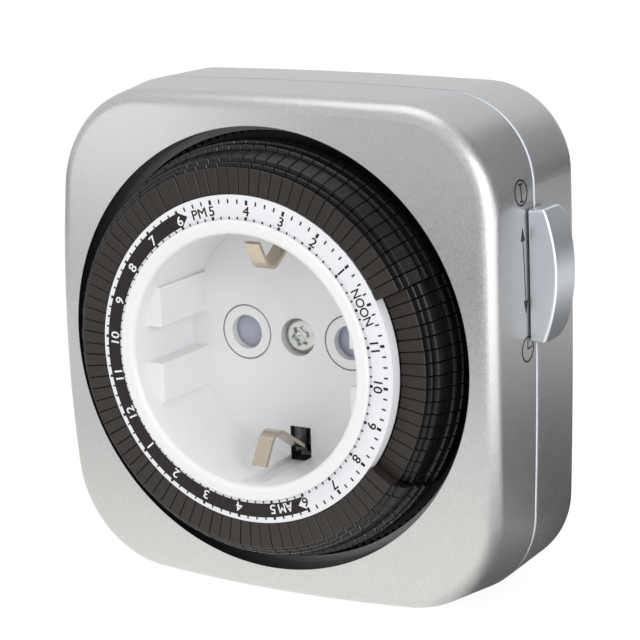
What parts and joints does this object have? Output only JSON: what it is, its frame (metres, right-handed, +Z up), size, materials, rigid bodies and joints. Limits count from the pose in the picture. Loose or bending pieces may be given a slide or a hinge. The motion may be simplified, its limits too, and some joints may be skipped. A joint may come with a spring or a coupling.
{
  "type": "mechanical timer switch",
  "caption": "Plug-in mechanical day timer with an earthed socket inside a turning dial of push-in segments, a side override slide switch and an earthed plug on the back",
  "frame": {"origin": "where the dial axis, which is also the plug axis, meets the rear face of the case that stands on the wall", "axes": "the dial and socket look along -Y, the plug points along +Y into the wall, +Z is up and the slide switch is on the +X side"},
  "size_m": [0.0839, 0.0745, 0.0812],
  "materials": {
    "silver_shell": "silver satin paint",
    "white_frame": "satin",
    "white_socket": "satin gloss",
    "white_scale": "satin, printed",
    "carrier_black": "satin",
    "segment_black": "satin",
    "silver_slider": "silver satin",
    "shutter_white": "satin",
    "screw_steel": "plated",
    "axle_steel": "ground",
    "spring_steel": "bright",
    "earth_plated": "nickel plated",
    "contact_brass": "bright",
    "plug_pin_plated": "nickel plated",
    "gear_nylon": "natural",
    "motor_can": "zinc plated",
    "lead_insulation": "satin",
    "lever_grey": "natural",
    "switch_dark": "matte"
  },
  "bodies": {
    "case": {"front_housing": "silver_shell", "rear_housing": "silver_shell", "middle_frame": "white_frame", "case_screws": "screw_steel", "socket_insert": "white_socket", "centre_screw": "screw_steel", "shutter_spring": "spring_steel", "socket_earth_clip": "earth_plated", "neutral_contact": "contact_brass", "live_contact": "contact_brass", "live_link": "contact_brass", "plug_pins": "plug_pin_plated", "plug_earth_clip": "earth_plated", "earth_post": "earth_plated", "idler_axle": "axle_steel", "motor": "motor_can", "motor_screws": "screw_steel", "motor_leads": "lead_insulation", "follower_axle": "axle_steel", "follower_spring": "spring_steel", "switch_case": "switch_dark", "switch_terminals": "contact_brass", "slider_spring": "spring_steel"},
    "dial": {"time_scale_ring": "white_scale", "segment_carrier": "carrier_black"},
    "hour_00": {"segments_00h": "segment_black"},
    "hour_01": {"segments_01h": "segment_black"},
    "hour_02": {"segments_02h": "segment_black"},
    "hour_03": {"segments_03h": "segment_black"},
    "hour_04": {"segments_04h": "segment_black"},
    "hour_05": {"segments_05h": "segment_black"},
    "hour_06": {"segments_06h": "segment_black"},
    "hour_07": {"segments_07h": "segment_black"},
    "hour_08": {"segments_08h": "segment_black"},
    "hour_09": {"segments_09h": "segment_black"},
    "hour_10": {"segments_10h": "segment_black"},
    "hour_11": {"segments_11h": "segment_black"},
    "hour_12": {"segments_12h": "segment_black"},
    "hour_13": {"segments_13h": "segment_black"},
    "hour_14": {"segments_14h": "segment_black"},
    "hour_15": {"segments_15h": "segment_black"},
    "hour_16": {"segments_16h": "segment_black"},
    "hour_17": {"segments_17h": "segment_black"},
    "hour_18": {"segments_18h": "segment_black"},
    "hour_19": {"segments_19h": "segment_black"},
    "hour_20": {"segments_20h": "segment_black"},
    "hour_21": {"segments_21h": "segment_black"},
    "hour_22": {"segments_22h": "segment_black"},
    "hour_23": {"segments_23h": "segment_black"},
    "idler": {"idler_gear": "gear_nylon"},
    "motor_output": {"motor_pinion": "gear_nylon"},
    "shutter": {"pin_shutter": "shutter_white"},
    "follower": {"follower_lever": "lever_grey"},
    "button": {"switch_button": "lever_grey"},
    "slider": {"override_slider": "silver_slider"}
  },
  "joints": [
    {"name": "dial_turn", "type": "hinge", "parent": "case", "child": "dial", "pos_m": [0, -0.03, 0], "axis": [0, 1, 0], "continuous": true},
    {"name": "hour_00_push", "type": "slide", "parent": "dial", "child": "hour_00", "axis": [0, 1, 0], "range_m": [0, 0.0024]},
    {"name": "hour_01_push", "type": "slide", "parent": "dial", "child": "hour_01", "axis": [0, 1, 0], "range_m": [0, 0.0024]},
    {"name": "hour_02_push", "type": "slide", "parent": "dial", "child": "hour_02", "axis": [0, 1, 0], "range_m": [0, 0.0024]},
    {"name": "hour_03_push", "type": "slide", "parent": "dial", "child": "hour_03", "axis": [0, 1, 0], "range_m": [0, 0.0024]},
    {"name": "hour_04_push", "type": "slide", "parent": "dial", "child": "hour_04", "axis": [0, 1, 0], "range_m": [0, 0.0024]},
    {"name": "hour_05_push", "type": "slide", "parent": "dial", "child": "hour_05", "axis": [0, 1, 0], "range_m": [0, 0.0024]},
    {"name": "hour_06_push", "type": "slide", "parent": "dial", "child": "hour_06", "axis": [0, 1, 0], "range_m": [0, 0.0024]},
    {"name": "hour_07_push", "type": "slide", "parent": "dial", "child": "hour_07", "axis": [0, 1, 0], "range_m": [0, 0.0024]},
    {"name": "hour_08_push", "type": "slide", "parent": "dial", "child": "hour_08", "axis": [0, 1, 0], "range_m": [-0.0024, 0]},
    {"name": "hour_09_push", "type": "slide", "parent": "dial", "child": "hour_09", "axis": [0, 1, 0], "range_m": [-0.0024, 0]},
    {"name": "hour_10_push", "type": "slide", "parent": "dial", "child": "hour_10", "axis": [0, 1, 0], "range_m": [-0.0024, 0]},
    {"name": "hour_11_push", "type": "slide", "parent": "dial", "child": "hour_11", "axis": [0, 1, 0], "range_m": [-0.0024, 0]},
    {"name": "hour_12_push", "type": "slide", "parent": "dial", "child": "hour_12", "axis": [0, 1, 0], "range_m": [0, 0.0024]},
    {"name": "hour_13_push", "type": "slide", "parent": "dial", "child": "hour_13", "axis": [0, 1, 0], "range_m": [0, 0.0024]},
    {"name": "hour_14_push", "type": "slide", "parent": "dial", "child": "hour_14", "axis": [0, 1, 0], "range_m": [0, 0.0024]},
    {"name": "hour_15_push", "type": "slide", "parent": "dial", "child": "hour_15", "axis": [0, 1, 0], "range_m": [0, 0.0024]},
    {"name": "hour_16_push", "type": "slide", "parent": "dial", "child": "hour_16", "axis": [0, 1, 0], "range_m": [0, 0.0024]},
    {"name": "hour_17_push", "type": "slide", "parent": "dial", "child": "hour_17", "axis": [0, 1, 0], "range_m": [0, 0.0024]},
    {"name": "hour_18_push", "type": "slide", "parent": "dial", "child": "hour_18", "axis": [0, 1, 0], "range_m": [0, 0.0024]},
    {"name": "hour_19_push", "type": "slide", "parent": "dial", "child": "hour_19", "axis": [0, 1, 0], "range_m": [0, 0.0024]},
    {"name": "hour_20_push", "type": "slide", "parent": "dial", "child": "hour_20", "axis": [0, 1, 0], "range_m": [0, 0.0024]},
    {"name": "hour_21_push", "type": "slide", "parent": "dial", "child": "hour_21", "axis": [0, 1, 0], "range_m": [0, 0.0024]},
    {"name": "hour_22_push", "type": "slide", "parent": "dial", "child": "hour_22", "axis": [0, 1, 0], "range_m": [0, 0.0024]},
    {"name": "hour_23_push", "type": "slide", "parent": "dial", "child": "hour_23", "axis": [0, 1, 0], "range_m": [0, 0.0024]},
    {"name": "idler_turn", "type": "hinge", "parent": "case", "child": "idler", "pos_m": [-0.02154, -0.022, -0.03077], "axis": [0, 1, 0], "continuous": true},
    {"name": "motor_turn", "type": "hinge", "parent": "case", "child": "motor_output", "pos_m": [-0.01776, -0.0185, -0.02365], "axis": [0, 1, 0], "continuous": true},
    {"name": "shutter_turn", "type": "hinge", "parent": "case", "child": "shutter", "pos_m": [0, -0.0185, 0], "axis": [0, 1, 0], "range_deg": [0, 44], "stiffness_Nm_per_rad": 0.002},
    {"name": "follower_tilt", "type": "hinge", "parent": "case", "child": "follower", "pos_m": [0.0345, -0.0198, 0.018], "axis": [0, 0, -1], "range_deg": [-12.5, 0]},
    {"name": "button_press", "type": "slide", "parent": "case", "child": "button", "axis": [0, 1, 0], "range_m": [-0.00142, 0]},
    {"name": "override_slide", "type": "slide", "parent": "case", "child": "slider", "axis": [0, 0, 1], "range_m": [0, 0.003]}
  ],
  "couplings": [
    {"joint": "idler_turn", "follows": "dial_turn", "ratio": -11.5},
    {"joint": "motor_turn", "follows": "dial_turn", "ratio": 34.5},
    {"joint": "button_press", "follows": "follower_tilt", "m_per_rad": 0.0065}
  ]
}
